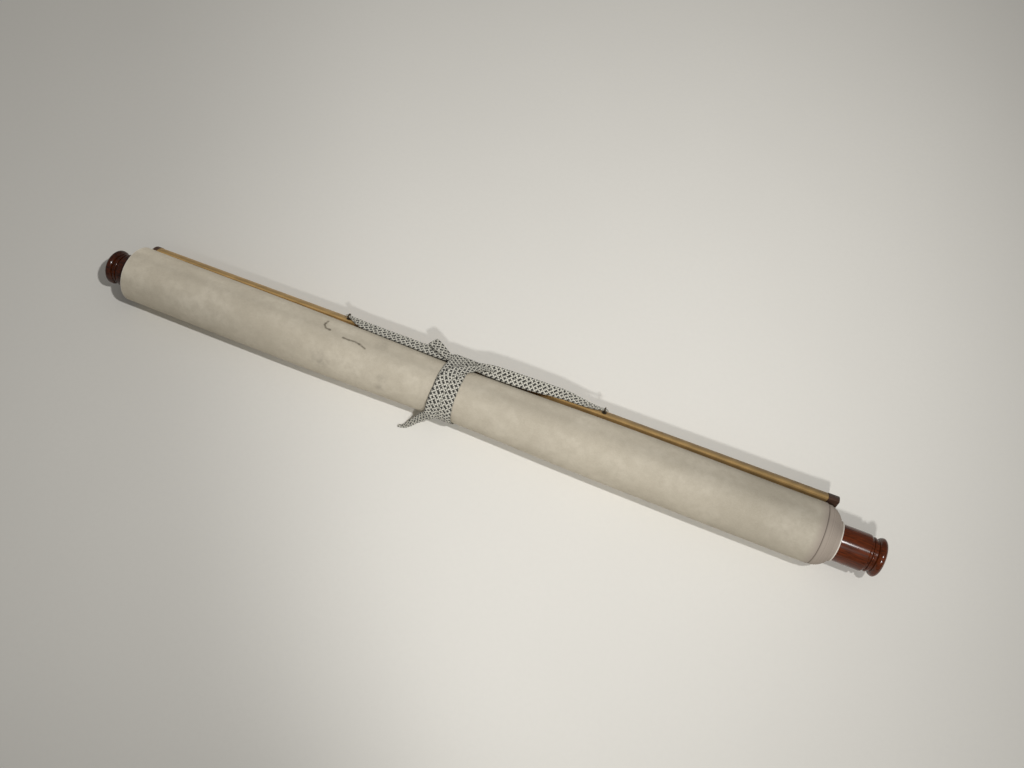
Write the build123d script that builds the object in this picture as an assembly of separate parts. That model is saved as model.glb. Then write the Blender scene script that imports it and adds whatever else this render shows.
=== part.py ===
from build123d import *
from math import cos, radians, sin, sqrt
import os

# A rolled hanging scroll lying on a table, in millimetres.
# X runs along the roll, +Y points away from the viewer, +Z is up.
# The origin is on the table, under the middle of the wooden rod.

# Rolled paper mounting, its innermost turns glued round the rod
core_wall = 0.65
sheet_width = 547.0
turn_count = 17
turn_pitch = 0.5
turn_lap = 0.4
left_slide = 8.3
right_slide = 14.0
slide_slope = 0.2
core_lip = 1.8
lip_turns = 2
core_sag = 0.9
core_lean = 0.5
flat_depth = 0.5
waist_depth = 1.8
waist_length = 285.0

# Wooden rod inside the roll
rod_radius = 13.35
rod_recess = 1.0
spigot_radius = 7.5
spigot_length = 18.0
spigot_chamfer = 1.0

# Turned end knobs
neck_gap = 0.15
knob_length = 31.9
shoulder_round = 1.2
ring_depth = 0.9
ring_width = 1.6
groove_depth = 1.8
groove_width = 1.5
bead_proud = 0.45
bead_width = 6.6
bead_crown = 3.6
bead_fall = 4.2
bead_back_bulge = 0.77
bead_front_bulge = 0.8
face_dome = 0.7
face_bulge = 0.17
face_flat = 1.5
socket_clearance = 0.05
socket_relief = 0.6

# Half-round stave on the far side of the roll
stave_width = 17.2
stave_depth = 7.6
stave_left_out = 1.3
stave_right_out = 7.5
stave_drop = 9.5
stave_skew = 0.55
stave_gap = 0.35

# Cloth sleeve on the stave and the dark patches over its ends
cover_thickness = 0.4
patch_thickness = 0.3
left_patch_length = 3.6
right_patch_length = 7.6

# Metal eyes that carry the hanging tape
left_eye_at = -102.8
right_eye_at = 105.4
eye_tilt = 67.0
eye_ring_radius = 1.65
eye_wire_radius = 0.5
eye_shank_length = 6.4
washer_radius = 1.9
washer_thickness = 0.4

# Braided tape
tape_width = 9.8
tape_thickness = 1.0
tape_gap = 0.2
tape_tilt = 73.5
tape_tip_width = 1.5
tape_tip_reach = 2.6
tape_taper = 15.0
tape_eye_run = 2.0
tape_bend_radius = 12.0
left_tape_shift = 0.2
right_tape_shift = 4.2
knot_pinch = 3.1
knot_pinch_run = 4.5
belt_offset = -2.3
belt_groove_width = 0.4
belt_groove_depth = 0.35
gusset_width = 9.0
gusset_start = 1.0
gusset_end = 15.0

# Loose end of the winding tape, in front of the roll
tail_top_angle = 46.0
tail_leave_angle = -12.0
tail_tip_y = -31.4
tail_tip_rise = 2.5
tail_tip_run = 1.5
tail_tip_heading = (-0.5, -0.6)
tail_lift = 0.1
# Height above the table, then the left and right edge measured from the wound tape's left edge
tail_edges = [
    (38.5, 0.1, 9.6),
    (26.0, -1.0, 7.8),
    (14.0, -7.6, -0.6),
    (5.0, -15.4, -8.2),
    (-1.0, -22.4, -17.4),
]

# Tucked loop that sticks out above the hanging tape
loop_reach = 4.0
loop_width = 12.0
loop_apex = 17.0
loop_turn = 12.0

# Worked-out sizes
roll_radius = rod_radius + core_wall + turn_pitch * (turn_count - 1)
neck_radius = rod_radius - neck_gap
ring_radius = neck_radius - ring_depth
groove_radius = neck_radius - groove_depth
bead_radius = neck_radius + bead_proud
axis_height = roll_radius - flat_depth
turn_radii = [roll_radius - turn_pitch * k for k in range(turn_count)]
core_radius = turn_radii[-1]
core_width = sheet_width - left_slide + right_slide
core_left = -core_width / 2
sheet_left = core_left - left_slide
rod_length = core_width - 2 * rod_recess
core_place = Pos(0, -core_lean, axis_height - core_sag)
waist_radius = roll_radius - waist_depth
arc_radius = ((stave_width / 2) ** 2 + stave_depth**2) / (2 * stave_depth)
arc_drop = arc_radius - stave_depth
arc_centre_z = cover_thickness - arc_drop
cover_radius = arc_radius + cover_thickness
patch_radius = cover_radius + patch_thickness
eye_height = cover_radius + washer_thickness + eye_ring_radius + eye_wire_radius
tape_level = cover_radius + tape_gap + tape_thickness / 2
belt_width = 2 * tape_width
belt_left_x = sheet_left + (sheet_width - belt_width) / 2 + belt_offset
stave_length = stave_left_out + sheet_width + stave_right_out
stave_x = sheet_left - stave_left_out + stave_length / 2

# The stave and all that it carries are drawn flat side down, then laid against the roll
stave_place = (
    Pos(stave_x, 0, axis_height)
    * Rot(X=-(90 + stave_drop))
    * Pos(0, 0, roll_radius + stave_gap)
    * Rot(Z=-stave_skew)
)


def turn_shift(k, slide):
    """How far turn k, counted inwards, has slid along the rod against the outermost one."""
    share = (turn_radii[k] - core_radius) / (roll_radius - core_radius)
    curve = (1 - slide_slope) * sqrt(1 - share**2) + slide_slope * (1 - share)
    lip = core_lip if k >= turn_count - lip_turns else 0
    return (slide - core_lip) * curve + lip


def turn_outline(radius):
    """One lap of the spiral: two half circles and the step where the next layer starts."""
    half = radius - turn_lap / 2
    end = radius - turn_lap
    upper = ThreePointArc((radius, 0), (turn_lap / 4, radius - turn_lap / 4), (-half, 0))
    lower = ThreePointArc((-half, 0), (-turn_lap / 4, turn_lap * 3 / 4 - radius), (end, 0))
    return make_face([upper, lower, Line((end, 0), (radius, 0))])


def spiral_stair(slide):
    """The inner turns slid out of the outer one, a spiral staircase starting at x = 0."""
    stair = None
    for k in range(1, turn_count):
        start = turn_shift(k - 1, slide) if k > 1 else 0
        share = k / (turn_count - 1)
        tread = extrude(Plane.YZ * turn_outline(turn_radii[k]), turn_shift(k, slide) - start)
        tread = Pos(start, -core_lean * share, -core_sag * share) * tread
        stair = tread if stair is None else stair + tread
    return stair


def rolled_paper():
    half = sheet_width / 2
    waist = Spline(
        (-waist_length / 2, roll_radius),
        (0, waist_radius),
        (waist_length / 2, roll_radius),
        tangents=((1, 0), (1, 0)),
    )
    outline = make_face(
        [
            Polyline((waist_length / 2, roll_radius), (half, roll_radius), (half, 0), (-half, 0)),
            Polyline((-half, 0), (-half, roll_radius), (-waist_length / 2, roll_radius)),
            waist,
        ]
    )
    roll = Pos(half, 0, 0) * revolve(Plane.XZ * outline, Axis.X)
    roll = roll + Pos(sheet_width, 0, 0) * spiral_stair(right_slide)
    roll = roll - spiral_stair(left_slide)
    bore = extrude(Plane.YZ * Circle(rod_radius), sheet_width + right_slide)
    roll = roll - Pos(0, -core_lean, -core_sag) * bore
    roll = Pos(sheet_left, 0, axis_height) * roll
    below = Pos(0, 0, -roll_radius) * Box(2 * sheet_width, 2 * roll_radius, 2 * roll_radius)
    return roll - below


def roller_rod():
    body = Cylinder(rod_radius, rod_length)
    core = Cylinder(spigot_radius, rod_length + 2 * spigot_length)
    core = chamfer([core.edges().sort_by(Axis.Z)[i] for i in (0, -1)], spigot_chamfer)
    return core_place * Rot(Y=90) * (body + core)


def knob():
    """A knob with its neck on the left and its bead on the right, seated at x = 0."""
    length = knob_length + rod_recess
    bead_start = length - bead_width
    ring_end = bead_start - groove_width
    ring_start = ring_end - ring_width
    neck_end = ring_start - groove_width
    shoulder = (neck_end - shoulder_round, neck_radius)
    crown = (bead_start + bead_crown, bead_radius)
    rim = (length - face_dome, bead_radius - bead_fall)
    pieces = [
        Polyline((length, face_flat), (length, 0), (0, 0), (0, neck_radius), shoulder),
        TangentArc(shoulder, (neck_end, neck_radius - shoulder_round), tangent=(1, 0)),
        Polyline(
            (neck_end, neck_radius - shoulder_round), (neck_end, groove_radius), (ring_start, groove_radius)
        ),
        SagittaArc((ring_start, groove_radius), (ring_end, groove_radius), ring_radius - groove_radius),
        Line((ring_end, groove_radius), (bead_start, groove_radius)),
        SagittaArc((bead_start, groove_radius), crown, bead_back_bulge),
        SagittaArc(crown, rim, bead_front_bulge),
        SagittaArc(rim, (length, face_flat), face_bulge),
    ]
    turned = revolve(Plane.XZ * make_face(pieces), Axis.X)
    socket = Plane.YZ * Circle(spigot_radius + socket_clearance)
    return turned - extrude(socket, spigot_length + socket_relief)


def stave_section(radius, flat):
    """A half round with its arc about the stave's own centre, cut off flat at the given height."""
    disc = Pos(0, arc_centre_z) * Circle(radius)
    keep = Pos(0, flat + radius) * Rectangle(4 * radius, 2 * radius)
    return disc & keep


def bar(section, start, length):
    """A section drawn in the stave's cross plane, run along it."""
    return Pos(start, 0, 0) * extrude(Plane.YZ * section, length)


def eye_direction():
    return (0, -sin(radians(eye_tilt)), cos(radians(eye_tilt)))


def eye_plane(at, height):
    """A plane across the eye's shank, so far from the centre of the stave's arc."""
    away = eye_direction()
    origin = (at, away[1] * height, arc_centre_z + away[2] * height)
    return Plane(origin=origin, x_dir=(1, 0, 0), z_dir=away)


def eye(at):
    shank_top = eye_height - eye_ring_radius
    shank_foot = cover_radius - eye_shank_length
    shank = extrude(eye_plane(at, shank_foot) * Circle(eye_wire_radius), shank_top - shank_foot)
    ring = eye_plane(at, eye_height) * Rot(Y=90) * Torus(eye_ring_radius, eye_wire_radius)
    return shank + ring


def eye_hole(at):
    foot = eye_plane(at, cover_radius - eye_shank_length)
    return extrude(foot * Circle(eye_wire_radius), 2 * eye_shank_length)


def washer(at):
    ring = Circle(washer_radius) - Circle(eye_wire_radius)
    return extrude(eye_plane(at, cover_radius) * ring, washer_thickness)


def top_stave():
    wood = bar(stave_section(arc_radius, cover_thickness), -stave_length / 2, stave_length)
    return wood - eye_hole(left_eye_at) - eye_hole(right_eye_at)


def stave_cover():
    sleeve = stave_section(cover_radius, 0) - stave_section(arc_radius, cover_thickness)
    cover = bar(sleeve, -stave_length / 2, stave_length)
    return cover - eye_hole(left_eye_at) - eye_hole(right_eye_at)


def end_patch(length):
    """A cloth cap on the left end of the stave; the right one is its mirror image."""
    cap = bar(stave_section(patch_radius, -patch_thickness), -stave_length / 2 - patch_thickness, length)
    return cap - bar(stave_section(cover_radius, 0), -stave_length / 2, length)


# Hanging tape: it lies on the stave's upper shoulder and ends in the two eyes
tape_away = (0, -sin(radians(tape_tilt)), cos(radians(tape_tilt)))
tape_plane = Plane(
    origin=(0, tape_away[1] * tape_level, arc_centre_z + tape_away[2] * tape_level),
    x_dir=(1, 0, 0),
    z_dir=tape_away,
)
eye_offset = radians(tape_tilt - eye_tilt)
tip_rise = eye_height * cos(eye_offset) - tape_level
tip_shift = eye_height * sin(eye_offset)
tape_near = left_tape_shift - tape_width / 2
knot_far = left_tape_shift + tape_width / 2 - knot_pinch


def hanging_tape():
    left_tip = left_eye_at - tape_tip_reach
    right_tip = right_eye_at + tape_tip_reach
    half = tape_width / 2
    tip = tape_tip_width / 2
    flat_left = left_eye_at + tape_taper
    knot_left = belt_left_x - stave_x
    knot_right = knot_left + belt_width
    bow = (knot_right + right_eye_at) / 2
    near = Polyline(
        (left_tip, tip_shift - tip),
        (left_eye_at, tip_shift - tip),
        (flat_left, tape_near),
        (knot_right, tape_near),
        (right_eye_at, tip_shift - tip),
        (right_tip, tip_shift - tip),
    )
    far = [
        Polyline(
            (right_tip, tip_shift - tip), (right_tip, tip_shift + tip), (right_eye_at, tip_shift + tip)
        ),
        ThreePointArc(
            (right_eye_at, tip_shift + tip),
            (bow, right_tape_shift + half),
            (knot_right, knot_far),
        ),
        Polyline(
            (knot_right, knot_far),
            (knot_left, knot_far),
            (knot_left - knot_pinch_run, knot_far + knot_pinch),
            (flat_left, knot_far + knot_pinch),
            (left_eye_at, tip_shift + tip),
            (left_tip, tip_shift + tip),
            (left_tip, tip_shift - tip),
        ),
    ]
    plan = make_face([near] + far)
    run = FilletPolyline(
        (left_tip, tip_rise),
        (left_eye_at + tape_eye_run, tip_rise),
        (flat_left, 0),
        (right_eye_at - tape_taper, 0),
        (right_eye_at - tape_eye_run, tip_rise),
        (right_tip, tip_rise),
        radius=tape_bend_radius,
    )
    side = trace(run, tape_thickness)
    deep = extrude(tape_plane * plan, tape_width, both=True)
    side_plane = Plane(origin=tape_plane.origin, x_dir=(1, 0, 0), z_dir=-tape_plane.y_dir)
    wide = extrude(side_plane * side, 2 * tape_width, both=True)
    return deep & wide


def across(point):
    """A point of the stave's cross plane, taken to the roll's own cross plane."""
    drop = radians(stave_drop)
    down, out = point[0], point[1] + roll_radius + stave_gap
    return (out * cos(drop) - down * sin(drop), -out * sin(drop) - down * cos(drop))


def belt_face(grow):
    """The outline round roll, stave and hanging tape, pulled tight as the winding tape is."""
    roll_ring = Circle(waist_radius + tape_gap)
    stave_at = across((0, arc_centre_z))
    stave_ring = Pos(stave_at[0], stave_at[1]) * Circle(cover_radius + tape_gap)
    rings = roll_ring.edges() + stave_ring.edges()
    for shift in (tape_near, knot_far):
        down = tape_away[1] * tape_level + tape_plane.y_dir.Y * shift
        out = arc_centre_z + tape_away[2] * tape_level + tape_plane.y_dir.Z * shift
        place = across((down, out))
        ring = Pos(place[0], place[1]) * Circle(tape_thickness / 2 + tape_gap)
        rings = rings + ring.edges()
    tight = make_hull(rings)
    if grow > 0:
        tight = offset(tight, amount=grow, kind=Kind.ARC)
    return tight


def belt_ring(start, length, inner, outer):
    ring = extrude(Plane.YZ * (belt_face(outer) - belt_face(inner)), length)
    return Pos(start, 0, axis_height) * ring


def winding_tape():
    turns = belt_ring(belt_left_x, belt_width, 0, tape_thickness)
    groove_start = belt_left_x + tape_width - belt_groove_width / 2
    groove_floor = tape_thickness - belt_groove_depth
    groove = belt_ring(groove_start, belt_groove_width, groove_floor, 2 * tape_thickness)
    turns = turns - groove
    right = belt_left_x + belt_width
    gusset_right = right + gusset_width
    lead = belt_ring(right, gusset_width, 0, tape_thickness)
    wedge = Polyline((right, gusset_start), (gusset_right, gusset_end), (right, gusset_end), close=True)
    turns = turns + (lead & Pos(0, 0, axis_height) * extrude(make_face(wedge), 2 * roll_radius))
    return turns + tail() + loop()


def on_belt(angle):
    """A point just above the wound tape on the near side, by its angle above the table."""
    reach = waist_radius + tape_gap + tape_thickness * 1.5
    return (-reach * cos(radians(angle)), reach * sin(radians(angle)))


def tail():
    """The loose end: down over the front of the roll, then out to the table."""
    low = tail_lift + tape_thickness / 2 - axis_height
    middle = on_belt((tail_top_angle + tail_leave_angle) / 2)
    over = ThreePointArc(on_belt(tail_top_angle), middle, on_belt(tail_leave_angle))
    drop = Spline(
        over @ 1,
        (tail_tip_y + tail_tip_run, low + tail_tip_rise),
        (tail_tip_y, low),
        tangents=(over % 1, tail_tip_heading),
    )
    wide = extrude(Plane.YZ * trace(over + drop, tape_thickness), 4 * tape_width, both=True)
    left = [(edge[1], edge[0] - axis_height) for edge in tail_edges]
    right = [(edge[2], edge[0] - axis_height) for edge in reversed(tail_edges)]
    front = make_face(Polyline(*left, *right, close=True))
    deep = extrude(Plane.XZ * front, 2 * roll_radius)
    return Pos(belt_left_x, 0, axis_height) * (wide & deep)


def loop():
    """The tucked loop, lying on the hanging tape beside the wound turns."""
    level = tape_level + tape_thickness * 1.5 + tape_gap
    tilt = radians(tape_tilt + loop_turn)
    away = (0, -sin(tilt), cos(tilt))
    plane = Plane(
        origin=(belt_left_x - stave_x, tape_away[1] * level, arc_centre_z + tape_away[2] * level),
        x_dir=(1, 0, 0),
        z_dir=away,
    )
    half = tape_width / 2
    outline = make_face(
        Polyline(
            (tape_thickness, tape_near),
            (tape_thickness, knot_far),
            (loop_width / 2 - loop_apex, half),
            (-loop_apex, half + loop_reach),
            (-loop_apex - loop_width / 2, half),
            (loop_width / 2 - loop_apex, -half),
            close=True,
        )
    )
    return stave_place * extrude(plane * outline, tape_thickness)


def left_knob():
    return core_place * Pos(-rod_length / 2, 0, 0) * mirror(knob(), Plane.YZ)


def right_knob():
    return core_place * Pos(rod_length / 2, 0, 0) * knob()


pieces = {
    "rolled_paper": rolled_paper(),
    "roller_rod": roller_rod(),
    "left_knob": left_knob(),
    "right_knob": right_knob(),
    "top_stave": stave_place * top_stave(),
    "stave_cover": stave_place * stave_cover(),
    "left_end_patch": stave_place * end_patch(left_patch_length),
    "right_end_patch": stave_place * mirror(end_patch(right_patch_length), Plane.YZ),
    "left_eye": stave_place * eye(left_eye_at),
    "right_eye": stave_place * eye(right_eye_at),
    "left_eye_washer": stave_place * washer(left_eye_at),
    "right_eye_washer": stave_place * washer(right_eye_at),
    "hanging_tape": stave_place * hanging_tape(),
    "winding_tape": winding_tape(),
}

os.makedirs("parts", exist_ok=True)
for name, piece in pieces.items():
    export_step(piece, f"parts/{name}.step")
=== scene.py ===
import math

import bpy
import numpy as np
from mathutils import Matrix, Vector


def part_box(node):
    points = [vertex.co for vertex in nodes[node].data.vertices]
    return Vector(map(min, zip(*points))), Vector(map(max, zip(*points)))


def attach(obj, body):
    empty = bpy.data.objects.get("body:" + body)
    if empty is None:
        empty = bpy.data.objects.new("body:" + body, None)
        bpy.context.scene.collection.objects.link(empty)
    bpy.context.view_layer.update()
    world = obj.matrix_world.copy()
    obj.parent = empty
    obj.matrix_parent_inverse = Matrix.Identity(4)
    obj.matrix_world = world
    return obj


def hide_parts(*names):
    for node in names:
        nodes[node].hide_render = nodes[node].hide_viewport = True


# A rolled hanging scroll on a pale table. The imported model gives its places. Lengths are in metres,
# apart from those that a note gives in millimetres.
mm = 0.001
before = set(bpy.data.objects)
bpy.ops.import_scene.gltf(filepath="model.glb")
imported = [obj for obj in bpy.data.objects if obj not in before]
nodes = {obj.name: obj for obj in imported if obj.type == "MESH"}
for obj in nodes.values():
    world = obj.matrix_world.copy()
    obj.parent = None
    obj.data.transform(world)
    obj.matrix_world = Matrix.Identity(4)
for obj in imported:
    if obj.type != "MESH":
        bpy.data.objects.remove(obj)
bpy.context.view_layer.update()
bpy.ops.object.select_all(action="DESELECT")
print("stage: frame loaded,", len(nodes), "nodes")


# Camera

camera = {
    "place": (0.13104, -0.22900, 0.59314),
    "right": (0.92318, 0.38436, 0.0),
    "up": (-0.34651, 0.83226, 0.43276),
    "back": (0.16634, -0.39952, 0.90151),
    "lens": 29.92,  # in mm, on a 36 mm sensor
}


def makeCamera():
    data = bpy.data.cameras.new("viewCamera")
    data.lens = camera["lens"]
    data.sensor_width = 36
    data.clip_start = 0.01
    viewer = bpy.data.objects.new("viewCamera", data)
    bpy.context.scene.collection.objects.link(viewer)
    turn = Matrix((camera["right"], camera["up"], camera["back"])).transposed().to_4x4()
    viewer.matrix_world = Matrix.Translation(camera["place"]) @ turn
    bpy.context.scene.camera = viewer


makeCamera()
print("stage: camera")


# Places of the roll and of the stave on its far side

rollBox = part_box("rolled_paper")
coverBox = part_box("stave_cover")
roll = {
    "radius": (rollBox[1].y - rollBox[0].y) / 2,
    "axisHeight": rollBox[1].z - (rollBox[1].y - rollBox[0].y) / 2,
    "waist": 20.2 * mm,  # radius under the winding tape
}
stave = {
    "middle": (coverBox[0].x + coverBox[1].x) / 2,
    "drop": math.radians(9.5),  # how far below level its flat side looks
    "skew": math.radians(0.55),
    "away": 22.35 * mm,  # flat side to the roll's axis
    "arcRadius": 9.066 * mm,
    "arcHeight": -0.666 * mm,
}
stavePlace = (
    Matrix.Translation((stave["middle"], 0, roll["axisHeight"]))
    @ Matrix.Rotation(-(math.pi / 2 + stave["drop"]), 4, "X")
    @ Matrix.Translation((0, 0, stave["away"]))
    @ Matrix.Rotation(-stave["skew"], 4, "Z")
)
staveArc = stavePlace @ Vector((0, 0, stave["arcHeight"]))  # middle of its round side


# Materials

def newMaterial(name):
    made = bpy.data.materials.new(name)
    made.use_nodes = True
    tree = made.node_tree
    shader = tree.nodes["Principled BSDF"]
    return made, tree, shader


def addNode(tree, kind, inputs=None, **settings):
    node = tree.nodes.new(kind)
    for key, value in settings.items():
        setattr(node, key, value)
    for key, value in (inputs or {}).items():
        socket = node.inputs[key]
        if isinstance(value, bpy.types.NodeSocket):
            tree.links.new(value, socket)
        else:
            socket.default_value = value
    return node


def calc(tree, operation, first, second=0.0, third=0.0):
    node = addNode(tree, "ShaderNodeMath", {0: first, 1: second, 2: third}, operation=operation)
    return node.outputs[0]


def product(tree, first, *others):
    for other in others:
        first = calc(tree, "MULTIPLY", first, other)
    return first


def vectorCalc(tree, operation, first, second):
    socket = "Scale" if operation == "SCALE" else 1
    node = addNode(tree, "ShaderNodeVectorMath", {0: first, socket: second}, operation=operation)
    return node.outputs["Value" if operation in ("DISTANCE", "DOT_PRODUCT") else "Vector"]


def objectParts(tree):
    where = addNode(tree, "ShaderNodeTexCoord").outputs["Object"]
    return where, addNode(tree, "ShaderNodeSeparateXYZ", {0: where}).outputs


def objectPlace(tree, scale=(1, 1, 1)):
    where = addNode(tree, "ShaderNodeTexCoord").outputs["Object"]
    return addNode(tree, "ShaderNodeMapping", {"Vector": where, "Scale": scale}).outputs[0]


def attribute(tree, name):
    return addNode(tree, "ShaderNodeAttribute", attribute_name=name).outputs["Fac"]


def noise(tree, place, scale, detail=3.0, roughness=0.5):
    inputs = {"Vector": place, "Scale": scale, "Detail": detail, "Roughness": roughness}
    return addNode(tree, "ShaderNodeTexNoise", inputs).outputs["Fac"]


def remap(tree, value, low, high, newLow=0.0, newHigh=1.0):
    inputs = {"Value": value, "From Min": low, "From Max": high, "To Min": newLow, "To Max": newHigh}
    return addNode(tree, "ShaderNodeMapRange", inputs).outputs[0]


def blendColour(tree, share, first, second, mode="MIX"):
    node = addNode(tree, "ShaderNodeMix", data_type="RGBA", blend_type=mode)
    for socket, value in ((node.inputs[0], share), (node.inputs[6], first), (node.inputs[7], second)):
        if isinstance(value, bpy.types.NodeSocket):
            tree.links.new(value, socket)
        elif socket.type == "RGBA":
            socket.default_value = (*value, 1)
        else:
            socket.default_value = value
    return node.outputs[2]


def shaded(tree, colour, level):
    grey = addNode(tree, "ShaderNodeCombineColor", {k: level for k in range(3)}).outputs[0]
    return blendColour(tree, 1.0, colour, grey, "MULTIPLY")


def paint(tree, shader, colour, look, height=None):
    tree.links.new(colour, shader.inputs["Base Color"])
    for key, value in look["finish"].items():
        shader.inputs[key].default_value = value
    if height is not None:
        strength, depth = look["bump"]
        bump = addNode(tree, "ShaderNodeBump", {"Height": height, "Strength": strength, "Distance": depth})
        tree.links.new(bump.outputs[0], shader.inputs["Normal"])


paper = {
    "colour": (0.575, 0.515, 0.405),
    "light": (0.655, 0.595, 0.485),
    "dark": (0.455, 0.402, 0.31),
    "inner": (0.45, 0.38, 0.315),  # painted shade on the turns inside the roll
    # painted highlight on the cut edges
    "cut": (0.86, 0.80, 0.70),
    "shade": (0.13, 0.105, 0.08),  # in the step from one turn to the next
    "finish": {"Roughness": 0.8, "Specular IOR Level": 0.25},
    "bump": (0.45, 0.4 * mm),
    # mottling: scale, detail and roughness of each noise, then how it mixes the colours
    "broad": (26, 4, 0.6),
    "cloud": (60, 3, 0.55),
    "fine": (170, 5, 0.65),
    "ragged": (420, 4, 0.7),
    "fibre": (900, 3, 0.6),
    "broadMix": (0.34, 0.66),
    "cloudMix": (0.45, 0.65, 0, 0.5),
    "fineMix": (0.4, 0.63, 0, 0.5),
    "fibreMix": (0.4, 0.7, 0, 0.35),
    # painted light and shade along the roll, or by the angle over it in radians: from, to, and the factor
    # at each
    "leftTone": (-0.28, -0.08, 1.3, 1.0),
    "rightTone": (0.1, 0.235, 1.0, 0.80),
    "topTone": (1.22, 1.69, 1.0, 0.9),
    "farTone": (1.78, 2.18, 1.0, 1.26),
    "middle": 0.045,
    "middleTone": (0.02, 0.12, 0.95, 1.01),  # painted light, by the distance from the middle
    # painted shade bands: how much along the roll, then over it
    "shadeBands": [
        ((-0.2, -0.1, 0.17, 0), (0.79, 1.6, 1, 0)),
        ((0.1, 0.2, 0, 0.1), (1.05, 1.66, 0, 1)),
    ],
}

# Marks on the paper, drawn in this order. Places are in mm along the roll and degrees over it.
marks = {
    "ink": (0.115, 0.095, 0.065),
    # points of each stroke, and half its width in mm
    "strokes": [
        ([(-117.8, 122.7), (-118.0, 109.2), (-115.7, 102.1), (-111.8, 101.5)], 0.95),
        ([(-100.2, 95.4), (-95.6, 95.2), (-90.2, 96.6), (-86.2, 94.8), (-81.1, 90.3)], 0.9),
    ],
    "core": 0.2,  # full ink up to this share of the half width
    "edge": 1.3,  # none beyond this one
    "fray": 1.6,  # how unevenly the edge runs, in mm
    "frayMiddle": 0.75,  # given back, so that a stroke keeps its width
    "strokeMix": (0.35, 0.6, 0.45, 0.95),
    "spotMix": (0.4, 0.65, 0.3, 1),
    # the spots' places and radii
    "smudges": {
        "ink": (0.30, 0.265, 0.21),
        "share": 0.55,
        "places": [
            (-61.2, 47.0, 5.5),
            (-111.1, 33.2, 10.0),
            (-70.9, 114.5, 7.0),
            (-62.6, 22.7, 5.0),
            (133.3, 5.4, 1.5),
        ],
    },
    "blots": {
        "ink": (0.12, 0.10, 0.07),
        "share": 1.0,
        "places": [
            (-118.2, 113.0, 1.5),
            (-118.0, 108.5, 1.2),
            (-112.4, 101.4, 1.6),
            (-99.4, 95.4, 1.4),
            (-95.2, 95.2, 1.3),
            (-86.4, 94.9, 1.5),
        ],
    },
}


def markPlace(x, angle):
    return Vector((x * mm, math.radians(angle) * roll["radius"], 0))


def strokeMask(tree, place, points, half, ragged):
    nearest = None
    for first, last in zip(points, points[1:]):
        run = last - first
        offset = vectorCalc(tree, "SUBTRACT", place, first)
        share = remap(tree, vectorCalc(tree, "DOT_PRODUCT", offset, run / run.length_squared), 0, 1)
        away = vectorCalc(tree, "DISTANCE", offset, vectorCalc(tree, "SCALE", run, share))
        nearest = away if nearest is None else calc(tree, "MINIMUM", nearest, away)
    nearest = calc(tree, "MULTIPLY_ADD", ragged, marks["fray"] * mm, nearest)
    core, edge = ((half * marks[key] + marks["frayMiddle"]) * mm for key in ("core", "edge"))
    return remap(tree, nearest, core, edge, 1, 0)


def drawMarks(tree, colour, flat, fine, ragged):
    for points, half in marks["strokes"]:
        mask = strokeMask(tree, flat, [markPlace(*point) for point in points], half, ragged)
        mask = calc(tree, "MULTIPLY", mask, remap(tree, ragged, *marks["strokeMix"]))
        colour = blendColour(tree, mask, colour, marks["ink"])
    for spots, grain in ((marks["smudges"], fine), (marks["blots"], ragged)):
        patchy = remap(tree, grain, *marks["spotMix"])
        for x, angle, size in spots["places"]:
            away = vectorCalc(tree, "DISTANCE", flat, markPlace(x, angle))
            mask = calc(tree, "MULTIPLY", remap(tree, away, 0, size * mm, spots["share"], 0), patchy)
            colour = blendColour(tree, mask, colour, spots["ink"])
    return colour


def paperPaintedLight(tree, along, turn):
    level = product(
        tree,
        remap(tree, along, *paper["leftTone"]),
        remap(tree, along, *paper["rightTone"]),
        remap(tree, turn, *paper["topTone"]),
        remap(tree, turn, *paper["farTone"]),
    )
    fromMiddle = calc(tree, "ABSOLUTE", calc(tree, "SUBTRACT", along, paper["middle"]))
    level = calc(tree, "MULTIPLY", level, remap(tree, fromMiddle, *paper["middleTone"]))
    unshaded = 1.0
    # painted shade bands
    for byPlace, byTurn in paper["shadeBands"]:
        shadeBands = calc(tree, "MULTIPLY", remap(tree, along, *byPlace), remap(tree, turn, *byTurn))
        unshaded = calc(tree, "SUBTRACT", unshaded, shadeBands)
    return calc(tree, "MULTIPLY", level, unshaded)


def paperMaterial():
    made, tree, shader = newMaterial("backingPaper")
    where, split = objectParts(tree)
    rise = calc(tree, "SUBTRACT", split[2], roll["axisHeight"])
    turn = calc(tree, "ARCTAN2", rise, calc(tree, "MULTIPLY", split[1], -1))
    arc = calc(tree, "MULTIPLY", turn, roll["radius"])
    flat = addNode(tree, "ShaderNodeCombineXYZ", {0: split[0], 1: arc}).outputs[0]
    broad = noise(tree, where, *paper["broad"])
    cloud = noise(tree, objectPlace(tree, (0.5, 1, 1)), *paper["cloud"])
    fine = noise(tree, where, *paper["fine"])
    ragged = noise(tree, where, *paper["ragged"])
    fibre = noise(tree, objectPlace(tree, (1, 3, 3)), *paper["fibre"])
    colour = blendColour(tree, remap(tree, broad, *paper["broadMix"]), paper["dark"], paper["light"])
    colour = blendColour(tree, 0.5, colour, paper["colour"])
    colour = blendColour(tree, remap(tree, cloud, *paper["cloudMix"]), colour, paper["dark"])
    colour = blendColour(tree, remap(tree, fine, *paper["fineMix"]), colour, paper["dark"])
    colour = blendColour(tree, remap(tree, fibre, *paper["fibreMix"]), colour, paper["light"])
    # painted shade on the inner turns at the roll's ends
    colour = blendColour(tree, attribute(tree, "inner"), colour, paper["inner"])
    # painted highlight on the cut edges, painted shade in the steps between turns
    cut = attribute(tree, "cut")
    colour = blendColour(tree, remap(tree, cut, 0, 1), colour, paper["cut"])
    colour = blendColour(tree, remap(tree, cut, 0, -1), colour, paper["shade"])
    colour = drawMarks(tree, colour, flat, fine, ragged)
    # painted light and shade over the roll
    colour = shaded(tree, colour, paperPaintedLight(tree, split[0], turn))
    paint(tree, shader, colour, paper, calc(tree, "MULTIPLY_ADD", fibre, 0.5, fine))
    return made


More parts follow.
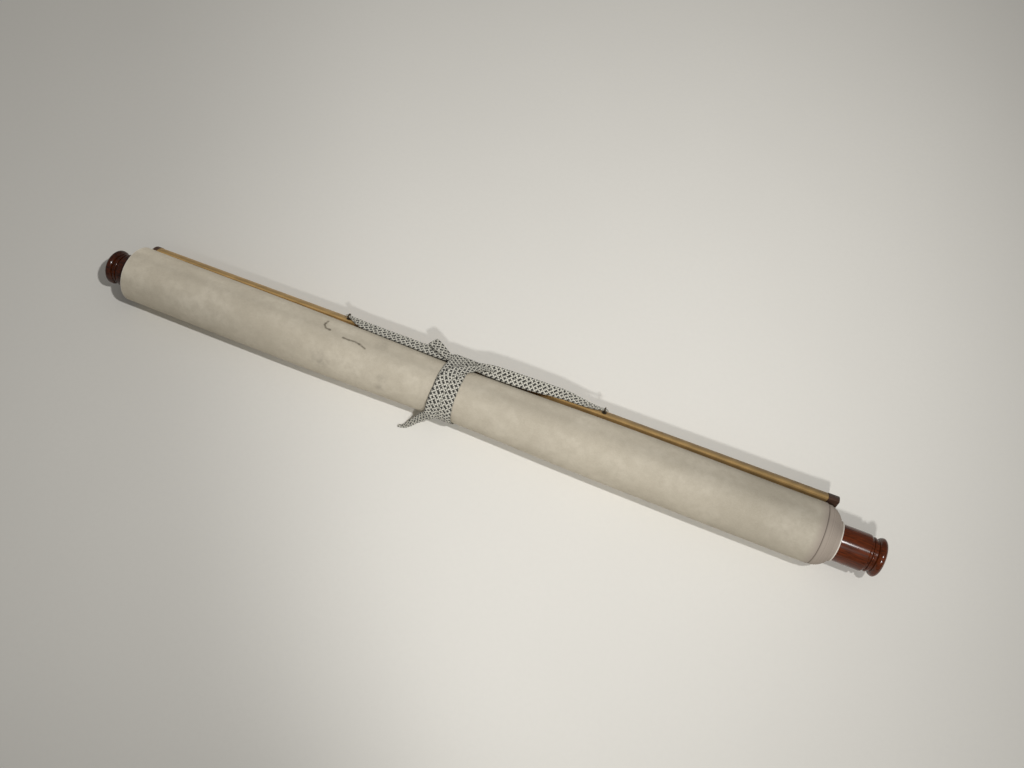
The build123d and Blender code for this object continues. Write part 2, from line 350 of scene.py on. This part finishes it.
wood = {
    "light": (0.55, 0.40, 0.24),
    "dark": (0.38, 0.25, 0.13),
    "grain": (700, 4, 0.6),
    "grainMix": (0.3, 0.7),
    "finish": {"Roughness": 0.6},
    "bump": (0.2, 0.2 * mm),
}


def plainWood():
    made, tree, shader = newMaterial("plainWood")
    grain = noise(tree, objectPlace(tree, (0.06, 1, 1)), *wood["grain"])
    colour = blendColour(tree, remap(tree, grain, *wood["grainMix"]), wood["dark"], wood["light"])
    paint(tree, shader, colour, wood, grain)
    return made


lacquer = {
    "light": (0.175, 0.030, 0.003),
    "dark": (0.028, 0.006, 0.001),
    "streak": (900, 4, 0.6),
    "cloud": (90, 3, 0.5),
    "streakMix": (0.3, 0.72),
    "cloudMix": (0.2, 0.7, 0.4, 1.0),
    "tone": (-0.28, 0.2, 0.5, 1.0),  # painted shade: the left knob is the darker one
    "finish": {
        "Roughness": 0.42,
        "Specular IOR Level": 0.02,
        "Coat Weight": 0.7,
        "Coat Roughness": 0.16,
        "Coat IOR": 1.5,
    },
    "bump": (0.08, 0.2 * mm),
}


def lacqueredWood():
    made, tree, shader = newMaterial("lacqueredWood")
    split = objectParts(tree)[1]
    streak = noise(tree, objectPlace(tree, (0.12, 1, 1)), *lacquer["streak"])
    cloud = noise(tree, objectPlace(tree, (0.4, 1, 1)), *lacquer["cloud"])
    streaky, cloudy = remap(tree, streak, *lacquer["streakMix"]), remap(tree, cloud, *lacquer["cloudMix"])
    share = calc(tree, "MULTIPLY", streaky, cloudy)
    colour = blendColour(tree, share, lacquer["dark"], lacquer["light"])
    # painted shade, darker towards the left knob
    colour = shaded(tree, colour, remap(tree, split[0], *lacquer["tone"]))
    paint(tree, shader, colour, lacquer, streak)
    return made


silk = {
    "thread": 0.55 * mm,
    "ribSlope": 1.3,  # how steeply the threads run round the stave
    "weftSlope": -0.4,
    "weftCount": 0.8,
    "weftShare": 0.35,
    "weaveShare": 0.6,  # of the light colour, the rest comes from wear
    "worn": (220, 4, 0.65),
    "wornMix": (0.3, 0.7, 0, 0.5),
    "moire": (110, 2, 0.4),
    "moireTone": (0.35, 0.65, 0.9, 1.1),
    # painted light and shade by the angle over the stave in radians, or along it: from, to, and the factor
    # at each
    "topTone": (1.05, 1.7, 0.86, 2.2),
    "farTone": (0.4, 0.95, 1.5, 1.0),
    "leftTone": (-0.15, 0.08, 1.45, 1.0),
    "rightTone": (0.12, 0.24, 1.0, 0.85),
}
goldenSilk = {
    "light": (0.39, 0.246, 0.09),
    "dark": (0.228, 0.143, 0.052),
    "finish": {"Roughness": 0.62, "Sheen Weight": 0.08, "Sheen Roughness": 0.4},
    "bump": (0.35, 0.15 * mm),
}
darkSilk = {
    "light": (0.07, 0.032, 0.016),
    "dark": (0.034, 0.015, 0.008),
    "finish": {"Roughness": 0.62, "Sheen Weight": 0.03, "Sheen Roughness": 0.4},
    "bump": (0.35, 0.15 * mm),
    "end": (0.26, 0.215, 0.17),  # painted highlight on its end faces
    "endReach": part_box("right_end_patch")[1].x - stave["middle"] - 0.15 * mm,
}


def silkMaterial(name, cloth):
    made, tree, shader = newMaterial(name)
    split = objectParts(tree)[1]
    rise = calc(tree, "SUBTRACT", split[2], staveArc.z)
    across = calc(tree, "ARCTAN2", rise, calc(tree, "SUBTRACT", split[1], staveArc.y))
    around = calc(tree, "MULTIPLY", across, stave["arcRadius"])

    def threads(slope, count):
        slant = calc(tree, "MULTIPLY_ADD", around, slope, split[0])
        wave = calc(tree, "SINE", calc(tree, "MULTIPLY", slant, 2 * math.pi / silk["thread"] * count))
        return calc(tree, "MULTIPLY_ADD", wave, 0.5, 0.5)

    rib = threads(silk["ribSlope"], 1)
    weft = threads(silk["weftSlope"], silk["weftCount"])
    ribShare = calc(tree, "MULTIPLY", rib, 1 - silk["weftShare"])
    weave = calc(tree, "MULTIPLY_ADD", weft, silk["weftShare"], ribShare)
    worn = noise(tree, objectPlace(tree, (0.35, 1, 1)), *silk["worn"])
    share = calc(tree, "MULTIPLY_ADD", weave, silk["weaveShare"], remap(tree, worn, *silk["wornMix"]))
    slide = addNode(tree, "ShaderNodeCombineXYZ", {0: calc(tree, "ADD", split[0], around)}).outputs[0]
    moire = noise(tree, slide, *silk["moire"])
    # painted light and shade over the stave
    level = product(
        tree,
        remap(tree, across, *silk["topTone"]),
        remap(tree, across, *silk["farTone"]),
        remap(tree, split[0], *silk["leftTone"]),
        remap(tree, split[0], *silk["rightTone"]),
        remap(tree, moire, *silk["moireTone"]),
    )
    colour = shaded(tree, blendColour(tree, share, cloth["dark"], cloth["light"]), level)
    # painted highlight on the end faces
    if "end" in cloth:
        fromMiddle = calc(tree, "ABSOLUTE", calc(tree, "SUBTRACT", split[0], stave["middle"]))
        beyond = calc(tree, "GREATER_THAN", fromMiddle, cloth["endReach"])
        colour = blendColour(tree, beyond, colour, cloth["end"])
    paint(tree, shader, colour, cloth, weave)
    return made


brass = {
    "bright": (0.14, 0.10, 0.055),
    "dull": (0.03, 0.022, 0.015),
    "patina": (1500, 4, 0.6),
    "patinaMix": (0.35, 0.7),
    "roughness": (0.3, 0.7, 0.6, 0.35),
    "finish": {"Metallic": 0.8},
    "bump": (0.2, 0.1 * mm),
}


def darkBrass():
    made, tree, shader = newMaterial("darkBrass")
    patina = noise(tree, objectPlace(tree), *brass["patina"])
    colour = blendColour(tree, remap(tree, patina, *brass["patinaMix"]), brass["dull"], brass["bright"])
    tree.links.new(remap(tree, patina, *brass["roughness"]), shader.inputs["Roughness"])
    paint(tree, shader, colour, brass, patina)
    return made


braid = {
    "white": (0.87, 0.835, 0.72),
    "shade": (0.20, 0.19, 0.155),
    "black": (0.020, 0.018, 0.014),
    "fuzz": (3500, 3, 0.6),
    "finish": {"Roughness": 0.75, "Sheen Weight": 0.2},
    "bump": (0.4, 0.2 * mm),
    "crossing": 1.98 * mm,  # along the tape, between strands that run side by side
    "strands": 10,
    "fullHalf": 4.9 * mm,
    "edgeTurn": 0.985,  # nearer to 1, a strand turns back more sharply at the tape's edge
    "wave": 0.27 * mm,  # how far a strand rises over the ones that it crosses
    "crown": 0.1 * mm,  # how far the tape's middle stands above its edges
    "strandWidth": 0.64 * mm,  # half
    "strandDepth": 0.23 * mm,  # half
    "blackWidth": 0.68 * mm,
    "blackLift": 0.11 * mm,
    "wander": 0.28 * mm,  # how unevenly the strands lie
    "pull": 1.6,  # the same along the tape, as a multiple of wander
    "uneven": 1200,  # share by which a strand widens for each metre that it strays
    "unevenLag": 9,  # and how many samples later it comes
    "samples": 5,  # for each crossing
    "soften": 15,  # samples over which a strand wanders
    "fade": 9,  # samples over which its brightness changes
    "fadeRange": (0.72, 1.0),
    "toneByHeight": (1.6, 0.42),  # painted shade in the valleys between strands: brightness is height times the first, less the second
    "inset": 0.6,  # how far inside the edge a strand turns back, as a share of half its width
    "changeAt": 0.1,  # place across, as a share of the tape's half width, where black strands change
    "squeeze": (0.4, 1.1),  # least and most that the strands narrow or widen with the tape
    "step": 0.5 * mm,  # between points of the curve along the tape
    "sides": 6,
}


def braidMaterial():
    made, tree, shader = newMaterial("braidedSilk")
    # painted shade in the valleys between strands, times a random tone along each
    white = blendColour(tree, attribute(tree, "tone"), braid["shade"], braid["white"])
    colour = blendColour(tree, attribute(tree, "ink"), white, braid["black"])
    paint(tree, shader, colour, braid, noise(tree, objectPlace(tree), *braid["fuzz"]))
    return made


def meshObject(name, points, faces, layers, material):
    mesh = bpy.data.meshes.new(name)
    mesh.from_pydata(points, [], faces)
    for key, values in layers.items():
        layer = mesh.attributes.new(key, "FLOAT", "POINT")
        layer.data.foreach_set("value", np.array(values, np.float32))
    mesh.materials.append(material)
    made = bpy.data.objects.new(name, mesh)
    bpy.context.scene.collection.objects.link(made)
    return made, mesh


def dress(material, *names):
    for name in names:
        mesh = nodes[name].data
        mesh.materials.clear()
        mesh.materials.append(material)


paperLook = paperMaterial()
dress(paperLook, "rolled_paper")
dress(plainWood(), "roller_rod", "top_stave")
dress(lacqueredWood(), "left_knob", "right_knob")
dress(silkMaterial("goldenSilk", goldenSilk), "stave_cover")
dress(silkMaterial("darkSilk", darkSilk), "left_end_patch", "right_end_patch")
dress(darkBrass(), "left_eye", "right_eye", "left_eye_washer", "right_eye_washer")
braidLook = braidMaterial()
print("stage: materials")


# Rolled paper: seventeen turns, each one's cut edge showing at both ends

# in mm
sheet = {
    "left": -284.65,
    "right": 262.35,
    "radius": 22.0,
    "turns": 17,
    "pitch": 0.5,
    "thick": 0.36,
    "groove": 0.7,
    "leftSlide": 8.3,
    "rightSlide": 14.0,
    "slope": 0.2,
    "lip": 1.8,
    "lipTurns": 2,
    "sag": 0.9,
    "lean": 0.5,
    "bore": 13.36,
    "waistDepth": 1.8,
    "waistHalf": 142.5,
    "waistRows": 90,
    "corner": 0.05,
    "sides": 240,
    # shade in a step at the right end: how dark and how wide, then fading over a few widths
    "firstShade": (-0.8, 0.35),
    "nextShade": (-0.3, 0.12),
    "shadeBefore": 0.1,
    "shadeFade": 3.5,
    "shadedTurns": 8,
    "rim": 0.65,  # width of the painted highlight strip at the end of the last turn but one
    # unevenness of the ends, of each turn's own end, and of the outer turn's round
    "sway": 0.16,
    "swayOrders": (1, 2, 3, 4, 5),
    "ownSway": 0.05,
    "ownOrders": (2, 3, 5, 8),
    "leftSwayReach": 20,
    "rightSwayReach": 1,
    "heldBack": 0.3,  # share of the sway in the grooves
    "dent": 0.05,
    "dents": 14,
    "dentRate": (0.01, 0.05),
    "dentOrders": (1, 5),
    "phase": 6.28,  # chance phases lie between 0 and this, in radians
}


def turnEnd(k, side):
    share = 1 - k / (sheet["turns"] - 1)
    curve = (1 - sheet["slope"]) * math.sqrt(1 - share**2) + sheet["slope"] * (1 - share)
    lip = sheet["lip"] if k >= sheet["turns"] - sheet["lipTurns"] else 0
    return sheet[side] + (sheet[side + "Slide"] - sheet["lip"]) * curve + lip


def turnRadii(k):
    outer = sheet["radius"] - sheet["pitch"] * k
    inner = outer - sheet["thick"] if k < sheet["turns"] - 1 else sheet["bore"]
    return outer, inner


# Each row is one ring: place along the roll, radius, turn, painted highlight on the cut edge (1) or painted
# shade (below 0), painted shade of the inner turns, and share of the sway
def rollProfile():
    rows = []
    corner, groove, back = sheet["corner"], sheet["groove"], sheet["heldBack"]
    last = sheet["turns"] - 1
    for k in range(last, -1, -1):
        x = turnEnd(k, "left")
        outer, inner = turnRadii(k)
        if k < last:
            rows.append((turnEnd(k + 1, "left") + groove, inner, k, 0, 1, back))
        rows += [(x + corner, inner, k, 0.2, 0.6, 1), (x, inner + corner, k, 1, 0, 1)]
        rows += [(x, outer - corner, k, 1, 0, 1), (x + corner, outer, k, 0.9, 0, 1)]
        rows.append((x + groove, outer, k, 0, 1 if k else 0, back if k else 1))
    middle = (sheet["left"] + sheet["right"]) / 2
    for i in range(1, sheet["waistRows"]):
        x = sheet["left"] + (sheet["right"] - sheet["left"]) * i / sheet["waistRows"]
        t = min(abs(x - middle) / sheet["waistHalf"], 1)
        rows.append((x, sheet["radius"] - sheet["waistDepth"] * (1 - t * t * (3 - 2 * t)), 0, 0, 0, 1))
    for k in range(last + 1):
        x = turnEnd(k, "right")
        outer, inner = turnRadii(k)
        if k:
            before = turnEnd(k - 1, "right")
            rows.append((before - groove, outer, k, 0, 1, back))
            if k <= sheet["shadedTurns"]:
                dark, wide = sheet["firstShade"] if k == 1 else sheet["nextShade"]
                rows.append((before - sheet["shadeBefore"], outer, k, dark, 1, 1))
                rows.append((before + wide, outer, k, dark, 1, 1))
                rows.append((before + sheet["shadeFade"] * wide, outer, k, 0, 1, 1))
        # painted highlight along the end of the last turn but one
        if k == last - 1:
            rim = x - sheet["rim"]
            rows += [(rim - 0.1, outer, k, 0, 1, 1), (rim, outer, k, 1, 1, 1)]
        # painted highlight on the cut edges of the two innermost turns
        white = 1 if k > last - 2 else 0
        rows += [(x - corner, outer, k, white, 1, 1), (x, outer - corner, k, white, 1, 1)]
        rows += [(x, inner + corner, k, white, 1, 1), (x - corner, inner, k, white, 1, 1)]
        if k < last:
            rows.append((x - groove, inner, k, 0, 1, back))
    return rows


def wobble(rng, turns, size, orders):
    return sum(rng.normal(0, size / n) * np.cos(n * turns + rng.uniform(0, sheet["phase"])) for n in orders)


def paperRoll():
    rows = rollProfile()
    rng = np.random.default_rng(21)
    sides, last = sheet["sides"], sheet["turns"] - 1
    turns = np.arange(sides) * 2 * math.pi / sides
    sway = wobble(rng, turns, sheet["sway"], sheet["swayOrders"])
    own = [wobble(rng, turns, sheet["ownSway"], sheet["ownOrders"]) for _ in range(last + 1)]
    waves = []
    for _ in range(sheet["dents"]):
        size, rate = rng.normal(0, sheet["dent"]), rng.uniform(*sheet["dentRate"])
        waves.append((size, rate, rng.integers(*sheet["dentOrders"]), rng.uniform(0, sheet["phase"])))
    points, cut, inner = [], [], []
    for x, radius, k, edge, innerShade, free in rows:
        share = k / last
        atEnd = x < sheet["left"] + sheet["leftSwayReach"] or x > sheet["right"] - sheet["rightSwayReach"]
        along = x + (sway + own[k]) * (1 if atEnd else 0) * (free if k else 1)
        dent = sum(a * np.cos(x * f + n * turns + c) for a, f, n, c in waves) if k == 0 else 0
        y = -(radius + dent) * np.cos(turns) - sheet["lean"] * share
        z = (radius + dent) * np.sin(turns) - sheet["sag"] * share + roll["axisHeight"] / mm
        points.append(np.stack([along * np.ones(sides), y, np.maximum(z, 0)], 1) * mm)
        # painted highlight and shade on the edges, painted shade of the inner turns
        cut += [edge] * sides
        inner += [innerShade] * sides
    faces = []
    for i in range(len(rows)):
        j = (i + 1) % len(rows)
        for s in range(sides):
            t = (s + 1) % sides
            faces.append((i * sides + s, j * sides + s, j * sides + t, i * sides + t))
    layers = {"cut": cut, "inner": inner}
    made, mesh = meshObject("paperRoll", np.concatenate(points).tolist(), faces, layers, paperLook)
    bpy.ops.object.select_all(action="DESELECT")
    made.select_set(True)
    bpy.context.view_layer.objects.active = made
    bpy.ops.object.mode_set(mode="EDIT")
    bpy.ops.mesh.select_all(action="SELECT")
    bpy.ops.mesh.normals_make_consistent(inside=False)
    bpy.ops.object.mode_set(mode="OBJECT")
    bpy.ops.object.shade_smooth_by_angle(angle=math.radians(50))
    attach(made, "root")
    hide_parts("rolled_paper")
    print("paper roll faces", len(mesh.polygons))


paperRoll()


# Braided tape: a flat ribbon of strands that run from edge to edge and cross over and under

def splineRows(rows):
    table = np.array([[*point, *normal, half] for point, normal, half in rows], float)
    padded = np.vstack([2 * table[0] - table[1], table, 2 * table[-1] - table[-2]])
    found = []
    for i in range(len(table) - 1):
        a, b, c, d = padded[i : i + 4]
        pieces = max(int(np.linalg.norm(c[:3] - b[:3]) / braid["step"]), 1)
        for k in range(pieces):
            t = k / pieces
            square = (2 * a - 5 * b + 4 * c - d) * t * t
            cube = (3 * b - a - 3 * c + d) * t**3
            found.append(0.5 * (2 * b + (c - a) * t + square + cube))
    return np.array([*found, table[-1]])


def unitRows(vectors):
    return vectors / (np.linalg.norm(vectors, axis=1)[:, None] + 1e-12)


def makeRibbon(rows):
    table = splineRows(rows)
    centre, normal, half = table[:, :3], table[:, 3:6], table[:, 6]
    length = np.concatenate([[0], np.cumsum(np.linalg.norm(np.diff(centre, axis=0), axis=1))])
    tangent = unitRows(np.gradient(centre, length, axis=0))
    normal = unitRows(normal - tangent * (normal * tangent).sum(1)[:, None])
    side = np.cross(normal, tangent)
    return {"centre": centre, "normal": normal, "side": side, "half": half, "length": length}


def along3(ribbon, key, along):
    return np.stack([np.interp(along, ribbon["length"], ribbon[key][:, k]) for k in range(3)], 1)


def addStrand(parts, points, normals, width, lift, ink, shade):
    tangent = unitRows(np.gradient(points, axis=0))
    side = unitRows(np.cross(normals, tangent))
    up = np.cross(tangent, side)
    depth, sides = braid["strandDepth"], braid["sides"]
    turns = [2 * math.pi * (k + 0.5) / sides for k in range(sides)]
    ring = [points + side * (width * math.cos(t))[:, None] + up * (depth * math.sin(t)) for t in turns]
    # painted shade: the lower a strand lies, the darker
    high = np.stack([np.abs(lift + depth * math.sin(t)) / (braid["wave"] + depth) for t in turns], 1)
    gain, less = braid["toneByHeight"]
    tone = np.clip(high * gain - less, 0, 1) * shade[:, None]
    start = len(parts["points"])
    count = len(points)
    parts["points"].extend(np.stack(ring, 1).reshape(-1, 3).tolist())
    parts["ink"].extend(np.repeat(ink, sides).tolist())
    parts["tone"].extend(tone.reshape(-1).tolist())
    for i in range(count - 1):
        for k in range(sides):
            a, b = start + i * sides + k, start + i * sides + (k + 1) % sides
            parts["faces"].append((a, b, b + sides, a + sides))
    parts["faces"].append(tuple(start + k for k in reversed(range(sides))))
    parts["faces"].append(tuple(start + (count - 1) * sides + k for k in range(sides)))


def braidRibbon(name, rows, seed):
    ribbon = makeRibbon(rows)
    rng = np.random.default_rng(seed)
    total = ribbon["length"][-1]
    pitch, count = braid["crossing"], braid["strands"]
    parts = {"points": [], "faces": [], "ink": [], "tone": []}
    steps = int(total / (pitch / braid["samples"])) + 1
    along = np.linspace(0, total, steps)
    base, normals, side = (along3(ribbon, key, along) for key in ("centre", "normal", "side"))
    half = np.interp(along, ribbon["length"], ribbon["half"])
    squeeze = np.clip(half / braid["fullHalf"], *braid["squeeze"])
    blur = np.hanning(braid["soften"])
    blur /= blur.sum()
    fade = np.ones(braid["fade"]) / braid["fade"]
    dim, bright = braid["fadeRange"]

    def wander():
        return np.convolve(rng.normal(0, 1, steps + len(blur) - 1), blur, "valid") * braid["wander"]

    pulled = (along + wander() * braid["pull"]) / pitch
    for k in range(count):
        phase = 2 * math.pi * (pulled - k) / count
        stray = wander()
        share = np.arcsin(braid["edgeTurn"] * np.sin(phase)) / math.asin(braid["edgeTurn"])
        across = share * (1 - braid["inset"] * braid["strandWidth"] / braid["fullHalf"])
        rising = np.cos(phase) > 0
        wave = np.cos(2 * math.pi * pulled) * np.where(rising, 1, -1)
        inside = np.clip(np.abs(np.cos(phase)) / math.sin(math.pi / count), 0, 1)
        black = (k % 2 == 1) & (rising == (share < braid["changeAt"]))
        lift = (braid["wave"] * wave + braid["blackLift"] * black) * inside
        shift = across * half + stray * inside
        height = lift + braid["crown"] * (1 - across**2)
        points = base + side * shift[:, None] + normals * height[:, None]
        shade = dim + (bright - dim) * np.convolve(rng.random(steps + len(fade) - 1), fade, "valid")
        uneven = 1 + braid["uneven"] * np.roll(stray, braid["unevenLag"])
        wide = np.where(black, braid["blackWidth"], braid["strandWidth"]) * uneven
        addStrand(parts, points, normals, wide * squeeze, lift, np.where(black, 1.0, 0.0), shade)
    layers = {key: parts[key] for key in ("ink", "tone")}
    made, mesh = meshObject(name, parts["points"], parts["faces"], layers, braidLook)
    mesh.shade_smooth()
    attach(made, "root")
    print("braid", name, "length mm", round(total / mm, 1), "faces", len(mesh.polygons))
    return made


# Hanging tape, in the stave's own axes: x along it, shift across the tape, lift off it

hanging = {
    "level": 9.766 * mm,
    "tilt": math.radians(73.5),
    # in mm: along, near edge, width, lift of the near edge, then turn of the far edge in degrees
    "stations": [
        (-105.4, 0.6, 1.5, 1.8, 0),
        (-102.8, 0.4, 2.0, 1.6, 0),
        (-97.0, -2.4, 5.4, 1.0, 0),
        (-90.0, -5.2, 8.7, 0.5, -2),
        (-80.0, -6.1, 9.8, 0.3, -2.5),
        (-60.0, -6.6, 10.3, 0.3, -2.5),
        (-40.0, -7.0, 10.6, 0.3, -2.5),
        (-24.0, -7.2, 10.7, 0.3, -2.5),
        (-15.0, -6.6, 9.2, 0.1, 0),
        (-5.0, -6.2, 8.6, 0.0, 0),
        (4.0, -6.2, 8.8, 0.2, 6),
        (10.0, -7.0, 9.9, 0.3, 13),
        (20.0, -7.4, 10.7, 0.3, 22),
        (36.0, -7.2, 10.7, 0.3, 26),
        (55.0, -5.2, 10.1, 0.3, 22),
        (73.0, -2.6, 8.6, 0.5, 18),
        (85.0, -2.2, 6.8, 0.8, 14),
        (94.0, -2.0, 5.0, 1.2, 10),
        (101.0, -0.7, 3.0, 1.6, 4),
        (105.4, 0.4, 1.9, 1.8, 0),
        (108.0, 0.6, 1.5, 1.8, 0),
    ],
}
hangingAway = Vector((0, -math.sin(hanging["tilt"]), math.cos(hanging["tilt"])))
hangingAcross = Vector((0, math.cos(hanging["tilt"]), math.sin(hanging["tilt"])))
hangingBase = hangingAway * hanging["level"] + Vector((0, 0, stave["arcHeight"]))


def hangingRows():
    found = []
    for x, near, width, lift, twist in hanging["stations"]:
        turn = Matrix.Rotation(math.radians(twist), 3, "X")
        nearEdge = hangingBase + hangingAcross * near * mm + hangingAway * lift * mm
        centre = nearEdge + turn @ hangingAcross * width * mm / 2 + Vector((x * mm, 0, 0))
        found.append((stavePlace @ centre, stavePlace.to_3x3() @ (turn @ hangingAway), width * mm / 2))
    return found


# Winding tape: the tight outline round roll, stave and hanging tape

winding = {
    "rightTurn": -9.0,  # places along the roll in mm
    "leftTurn": -18.0,
    "turnHalf": 4.8,
    "turnAngles": range(-120, 241, 6),
    "lay": 0.7 * mm,  # gap and half a tape
    # edges of the hanging tape under it
    "cornerShifts": (-4.7 * mm, 2.0 * mm),
    "cornerRound": 0.5 * mm,
    # angle over the roll from the near side, then in mm: place along it, level above the first layer,
    # and half width
    "band": [
        (164, 11.5, 0.0, 2.2),
        (156, 6.9, 1.5, 2.5),
        (146.6, 1.3, 2.4, 3.2),
        (134, -3.9, 2.3, 4.2),
        (123.3, -7.9, 1.9, 4.6),
        (114, -11.6, 1.6, 4.8),
        (104, -14.5, 1.2, 4.9),
        (93.8, -16.3, 1.2, 4.9),
        (82, -17.0, 1.2, 4.9),
        (69.8, -17.2, 1.2, 4.9),
        (54.4, -17.8, 1.3, 4.9),
        (33, -18.7, 1.4, 4.8),
    ],
    # the loose end: place in mm, normal, half width in mm
    "tail": [
        (-20.2, -22.3, 24.0, (0, -1.0, 0.1), 4.5),
        (-24.4, -22.6, 17.5, (-0.1, -1.0, 0.1), 4.1),
        (-29.6, -23.8, 10.8, (-0.1, -0.95, 0.35), 3.2),
        (-34.4, -26.6, 5.4, (0, -0.75, 0.7), 2.5),
        (-38.6, -29.6, 2.0, (0, -0.35, 0.93), 1.8),
        (-41.6, -30.8, 0.85, (0, 0, 1), 1.3),
        (-44.4, -31.6, 0.75, (0, 0, 1), 0.9),
    ],
}


def bend(first, middle, last):
    return (Vector(middle) - Vector(first)).cross(Vector(last) - Vector(first))


def tightOutline(circles):
    points = sorted(
        (y + r * math.cos(a), z + r * math.sin(a))
        for y, z, r in circles
        for a in (2 * math.pi * k / 180 for k in range(180))
    )

    def halfHull(line):
        hull = []
        for point in line:
            while len(hull) > 1 and bend(hull[-2], hull[-1], point) <= 0:
                hull.pop()
            hull.append(point)
        return hull[:-1]

    return halfHull(points) + halfHull(points[::-1])


def outlineByAngle(outline):
    table = sorted((math.degrees(math.atan2(z - roll["axisHeight"], -y)) % 360, y, z) for y, z in outline)
    angles, ys, zs = (np.array([row[k] for row in table]) for k in range(3))
    angles = np.concatenate([angles - 360, angles, angles + 360])
    ys, zs = np.tile(ys, 3), np.tile(zs, 3)

    def at(angle):
        a = (angle + 180) % 360 - 180
        return Vector((np.interp(a, angles, ys), np.interp(a, angles, zs)))

    return at


def windingCircles():
    circles = [
        (0, roll["axisHeight"], roll["waist"]),
        (staveArc.y, staveArc.z, stave["arcRadius"]),
    ]
    for shift in winding["cornerShifts"]:
        place = stavePlace @ (hangingBase + hangingAcross * shift)
        circles.append((place.y, place.z, winding["cornerRound"]))
    return [(y, z, radius + winding["lay"]) for y, z, radius in circles]


outline = outlineByAngle(tightOutline(windingCircles()))


def wrapRow(angle, x, level, half):
    before, here, after = outline(angle - 2), outline(angle), outline(angle + 2)
    slope = after - before
    normal = Vector((0, -slope.y, slope.x)).normalized()
    if normal.dot(Vector((0, here.x, here.y - roll["axisHeight"]))) < 0:
        normal.negate()
    return Vector((x * mm, here.x, here.y)) + normal * level * mm, normal, half * mm


def freeRow(x, y, z, normal, half):
    return Vector((x * mm, y * mm, z * mm)), Vector(normal).normalized(), half * mm


def ringRows(x):
    return [wrapRow(angle, x, 0, winding["turnHalf"]) for angle in winding["turnAngles"]]


def bandRows():
    return [wrapRow(*row) for row in winding["band"]] + [freeRow(*row) for row in winding["tail"]]


# The tucked loop, in mm
ear = {
    "base": (-23.0, 21.8, 30.3),
    "end": (-41.4, 31.2, 27.6),
    "normal": (0, 0.242, 0.970),
    "half": 4.0,
    "fold": 0.72,  # half the gap between its two layers
    "reach": [0, 0.15, 0.3, 0.45, 0.6, 0.75, 0.85, 0.93],  # shares of the way to its end
    "widths": [2.6, 2.9, 3.3, 3.7, 4.0, 4.2, 4.2, 4.2],  # half, at each of them
}


def earRows():
    base, end, fold = Vector(ear["base"]), Vector(ear["end"]), ear["fold"]
    run = (end - base).normalized()
    normal = Vector(ear["normal"])
    normal = (normal - run * normal.dot(run)).normalized()
    layers = list(zip(ear["reach"], ear["widths"]))
    found = [freeRow(*(base.lerp(end, t) + normal * fold), normal, width) for t, width in layers]
    for degrees in range(90, -91, -30):
        out = run * math.cos(math.radians(degrees)) + normal * math.sin(math.radians(degrees))
        found.append(freeRow(*(end + out * fold), out, ear["half"]))
    found += [freeRow(*(base.lerp(end, t) - normal * fold), -normal, width) for t, width in layers[::-1]]
    return found


hangingBraid = braidRibbon("hangingBraid", hangingRows(), 3)
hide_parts("hanging_tape")
leftTurnBraid = braidRibbon("leftTurnBraid", ringRows(winding["leftTurn"]), 7)
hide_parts("winding_tape")
braidRibbon("rightTurnBraid", ringRows(winding["rightTurn"]), 5)
braidRibbon("bandBraid", bandRows(), 11)
braidRibbon("earBraid", earRows(), 17)
print("stage: tapes")


# Floor, lamps and world

tableTop = {
    "colour": (0.80, 0.775, 0.715),
    "cloudShade": 0.965,  # the colour is multiplied by these
    "grainShade": 0.97,
    "cloud": (9, 4, 0.55),
    "grain": (260, 3, 0.6),
    "cloudMix": (0.3, 0.7, 0, 0.5),
    "grainMix": (0.4, 0.65, 0, 0.4),
    "finish": {"Roughness": 0.9, "Specular IOR Level": 0.1},
}
lamps = {
    "keyLamp": {
        "place": (0.448, -0.125, 0.923),
        "aim": (-0.387, 0.309, 0.0),
        "cone": 96.8,  # in degrees
        "blend": 1.0,
        "size": 0.016,  # radius
        "power": 24.3,  # in watts
    },
    "sideLamp": {
        "place": (0.345, -0.54, 0.74),
        "aim": (0.5, 0.28, 0.0),
        "cone": 89.7,
        "blend": 0.462,
        "size": 0.029,
        "power": 11.85,
    },
}
sky = {
    "colour": (1.0, 0.985, 0.96, 1),
    "strength": 0.215,
}


def makeFloor():
    bpy.ops.mesh.primitive_plane_add(size=8, location=(0, 0, 0))
    floor = bpy.context.object
    floor.name = "floor"
    made, tree, shader = newMaterial("paleTable")
    place = objectPlace(tree)
    plain = colour = tableTop["colour"]
    for kind in ("cloud", "grain"):
        mottled = remap(tree, noise(tree, place, *tableTop[kind]), *tableTop[kind + "Mix"])
        colour = blendColour(tree, mottled, colour, [c * tableTop[kind + "Shade"] for c in plain])
    paint(tree, shader, colour, tableTop)
    floor.data.materials.append(made)


def makeLamp(name, look):
    data = bpy.data.lights.new(name, "SPOT")
    data.energy = look["power"]
    data.spot_size = math.radians(look["cone"])
    data.spot_blend = look["blend"]
    data.shadow_soft_size = look["size"]
    lamp = bpy.data.objects.new(name, data)
    bpy.context.scene.collection.objects.link(lamp)
    lamp.location = look["place"]
    lamp.rotation_euler = (Vector(look["aim"]) - Vector(look["place"])).to_track_quat("-Z", "Y").to_euler()


def makeWorld():
    world = bpy.data.worlds.new("studio")
    bpy.context.scene.world = world
    world.use_nodes = True
    back = world.node_tree.nodes["Background"]
    back.inputs["Color"].default_value = sky["colour"]
    back.inputs["Strength"].default_value = sky["strength"]


makeFloor()
for name, look in lamps.items():
    makeLamp(name, look)
makeWorld()
bpy.context.scene.view_settings.view_transform = "Standard"
print("stage: floor and lamps")
